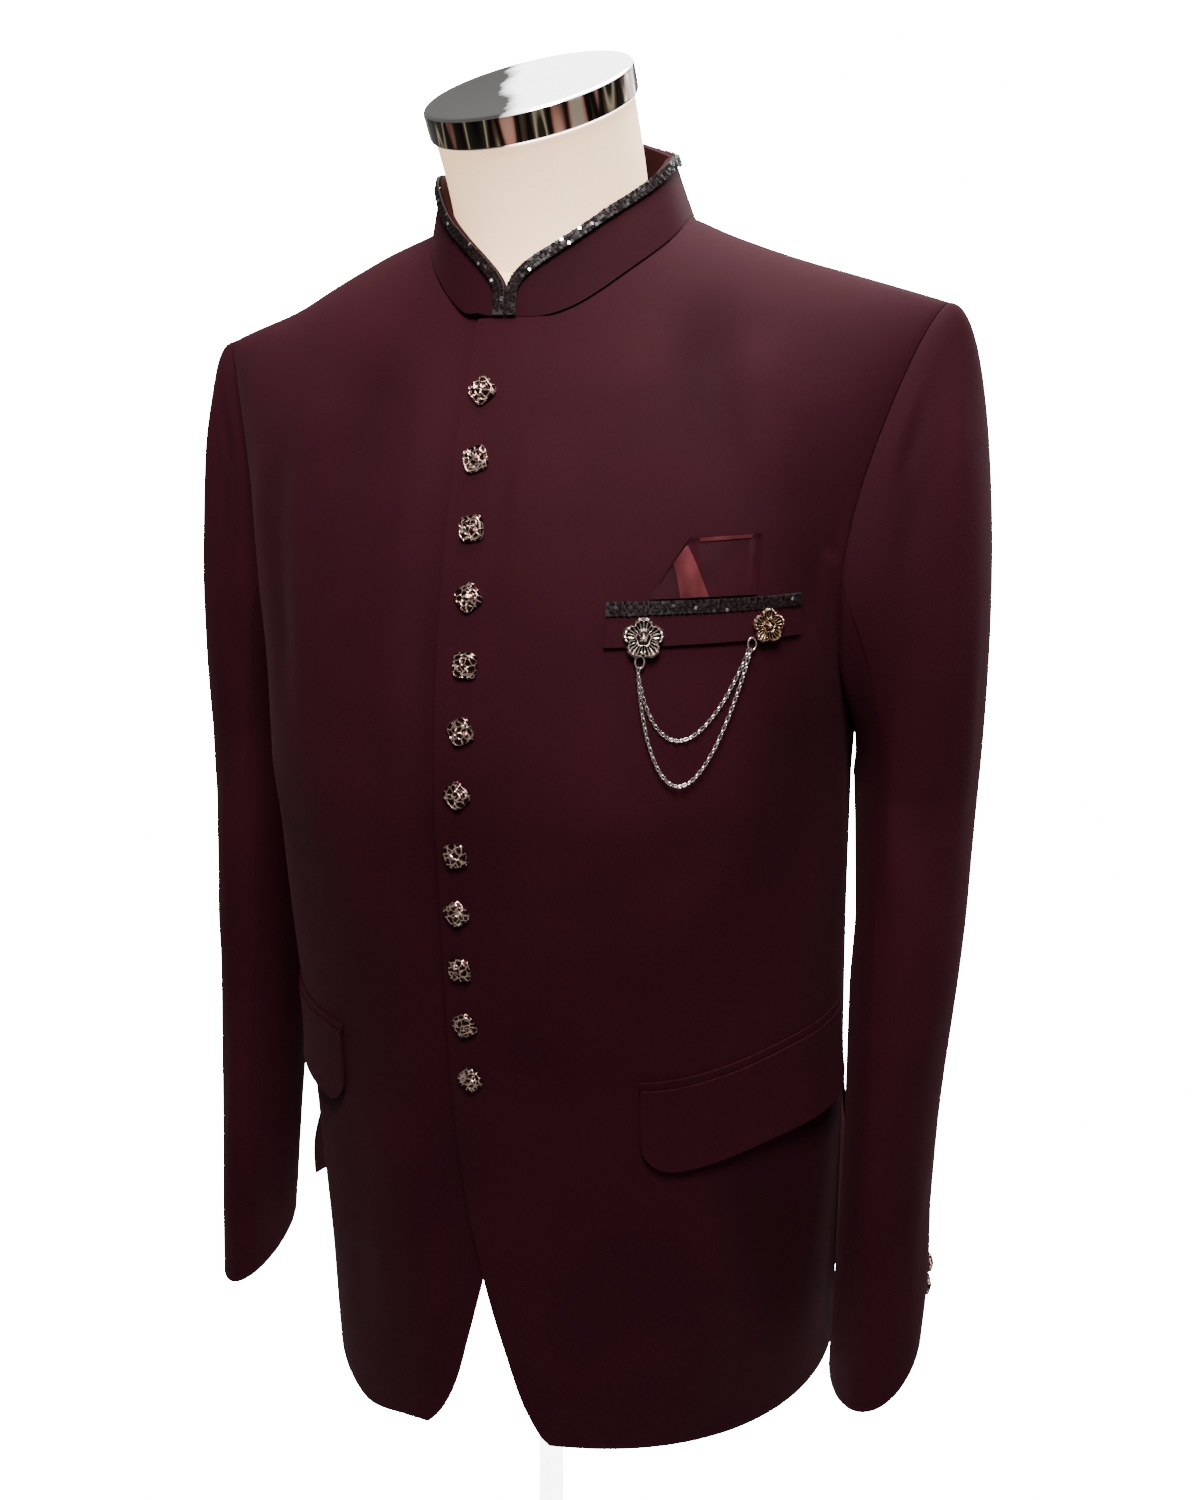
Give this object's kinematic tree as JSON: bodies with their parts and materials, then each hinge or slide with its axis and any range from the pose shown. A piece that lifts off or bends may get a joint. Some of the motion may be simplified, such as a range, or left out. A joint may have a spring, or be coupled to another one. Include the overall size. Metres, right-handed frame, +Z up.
{
  "type": "bandhgala jacket on a limbless dress form with a stand",
  "caption": "Closed-collar men's jacket, buttoned down the front, hanging in its worn shape on a limbless dress form with a capped neck and a pole stand.",
  "frame": {"origin": "middle of the stand's flat underside", "axes": "+Z up; the wearer faces -Y, and the wearer's left is +X"},
  "size_m": [0.5145, 0.3, 1.2014],
  "materials": {
    "suiting": "fine matte worsted, deep maroon",
    "suiting_shade": "the same cloth on the pieces that lie in shade",
    "sequin_trim": "black band sewn all over with small sequins",
    "satin": "satin with a soft rosy sheen",
    "button_metal": "engraved, faceted, warm silver",
    "brooch_silver": "polished silver colour",
    "brooch_bronze": "dull bronze colour",
    "form_cover": "smooth cream jersey",
    "cap_chrome": "mirror-bright",
    "stand_paint": "white powder coat"
  },
  "bodies": {
    "root": {"front_left": "suiting", "front_right": "suiting", "back_left": "suiting", "back_right": "suiting", "sleeve_top_left": "suiting", "sleeve_under_left": "suiting_shade", "sleeve_top_right": "suiting", "sleeve_under_right": "suiting_shade", "collar": "suiting", "collar_trim": "sequin_trim", "hip_flap_left": "suiting", "hip_jet_left": "suiting_shade", "hip_flap_right": "suiting", "hip_jet_right": "suiting_shade", "breast_welt": "suiting", "breast_welt_trim": "sequin_trim", "pocket_square": "satin", "front_button_01": "button_metal", "front_button_02": "button_metal", "front_button_03": "button_metal", "front_button_04": "button_metal", "front_button_05": "button_metal", "front_button_06": "button_metal", "front_button_07": "button_metal", "front_button_08": "button_metal", "front_button_09": "button_metal", "front_button_10": "button_metal", "front_button_11": "button_metal", "front_button_12": "button_metal", "cuff_button_left_1": "button_metal", "cuff_button_left_2": "button_metal", "cuff_button_right_1": "button_metal", "cuff_button_right_2": "button_metal", "brooch_pin_front": "brooch_silver", "brooch_pin_side": "brooch_bronze", "brooch_chain_upper": "brooch_silver", "brooch_chain_lower": "brooch_silver", "form_torso": "form_cover", "neck_cap": "cap_chrome", "stand_base": "stand_paint", "stand_pole": "stand_paint"}
  },
  "joints": []
}
